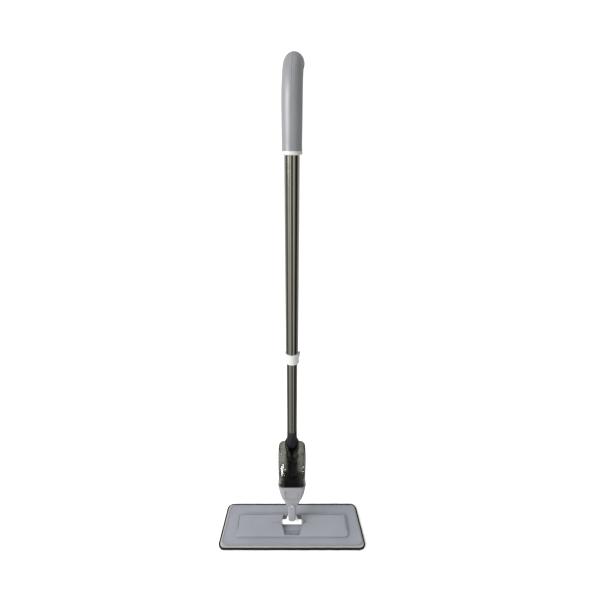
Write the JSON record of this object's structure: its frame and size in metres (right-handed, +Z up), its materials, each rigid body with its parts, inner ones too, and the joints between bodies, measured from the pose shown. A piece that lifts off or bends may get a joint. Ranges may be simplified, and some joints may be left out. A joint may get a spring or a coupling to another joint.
{
  "type": "spray mop",
  "caption": "Flat microfibre spray mop: bound pad on a hinged plate, two-axis swivel neck, pump housing with smoked bottle, steel tube handle and curved trigger grip.",
  "frame": {"origin": "centre of the pad's footprint on the floor, at the pad's underside", "axes": "+Z up along the upright handle, +X to the right along the pad's width, -Y the front, where the bottle and nozzle face; the trigger faces +Y"},
  "size_m": [0.4092, 0.135, 1.1682],
  "materials": {
    "grey_plastic": "fine satin texture",
    "white_plastic": "smooth, slightly glossy",
    "dark_plastic": "smooth dark navy",
    "smoked_bottle": "clear smoked grey, glossy",
    "steel_tube": "polished stainless, faint lengthwise brushing",
    "steel_hardware": "plain zinc-plated",
    "rubber_seal": "matte",
    "clear_hose": "milky flexible tube",
    "pad_cloth": "short microfibre pile",
    "binding_cloth": "black woven edge tape",
    "hook_strip": "hook-and-loop tape"
  },
  "bodies": {
    "head": {"plate": "grey_plastic", "hook_strips": "hook_strip", "mop_pad": "pad_cloth", "pad_binding": "binding_cloth", "hinge_pins": "steel_hardware"},
    "yoke": {"yoke": "white_plastic"},
    "handle": {"neck": "grey_plastic", "roll_pin": "steel_hardware", "housing_front": "grey_plastic", "housing_rear": "grey_plastic", "front_panel": "grey_plastic", "housing_screws": "steel_hardware", "spray_nozzle": "grey_plastic", "nozzle_tip": "white_plastic", "outlet_hose": "clear_hose", "inlet_hose": "clear_hose", "pump_cylinder": "dark_plastic", "pump_cap": "dark_plastic", "pump_spring": "steel_hardware", "bottle_seat": "dark_plastic", "seat_seal": "rubber_seal", "spine": "dark_plastic", "lower_tube": "steel_tube", "tube_connector": "white_plastic", "upper_tube": "steel_tube", "grip_collar": "white_plastic", "grip_left": "grey_plastic", "grip_right": "grey_plastic", "grip_screws": "steel_hardware", "trigger_pin": "steel_hardware"},
    "rod": {"pull_rod": "steel_hardware", "pump_piston": "white_plastic", "piston_seal": "rubber_seal"},
    "trigger": {"trigger": "dark_plastic"},
    "bottle": {"bottle": "smoked_bottle"},
    "cap": {"bottle_cap": "dark_plastic", "cap_seal": "rubber_seal", "valve_spring": "steel_hardware"},
    "valve": {"cap_valve": "white_plastic"}
  },
  "joints": [
    {"name": "head_pitch", "type": "hinge", "parent": "head", "child": "yoke", "pos_m": [0, 0, 0.0205], "axis": [1, 0, 0], "range_deg": [-58, 70]},
    {"name": "head_roll", "type": "hinge", "parent": "yoke", "child": "handle", "pos_m": [0, 0, 0.05], "axis": [0, 1, 0], "range_deg": [-60, 60]},
    {"name": "trigger_pull", "type": "hinge", "parent": "handle", "child": "trigger", "pos_m": [0.00115, 0.01094, 1.08], "axis": [-0.9945, 0.1045, 0], "range_deg": [0, 16]},
    {"name": "rod_lift", "type": "slide", "parent": "handle", "child": "rod", "axis": [0, 0, 1], "range_m": [0, 0.0031], "stiffness_N_per_m": 300, "springref_m": -0.002, "deforming": ["pump_spring"]},
    {"name": "bottle_lift", "type": "slide", "parent": "handle", "child": "bottle", "axis": [0, 0, 1], "range_m": [0, 0.04]},
    {"name": "cap_turn", "type": "hinge", "parent": "bottle", "child": "cap", "pos_m": [0, -0.0285, 0.212], "axis": [0, 0, 1], "range_deg": [0, 270]},
    {"name": "valve_open", "type": "slide", "parent": "cap", "child": "valve", "axis": [0, 0, 1], "range_m": [0, 0.003], "stiffness_N_per_m": 150, "springref_m": -0.003, "deforming": ["valve_spring"]}
  ],
  "couplings": [
    {"joint": "trigger_pull", "follows": "rod_lift", "rad_per_m": 90}
  ]
}
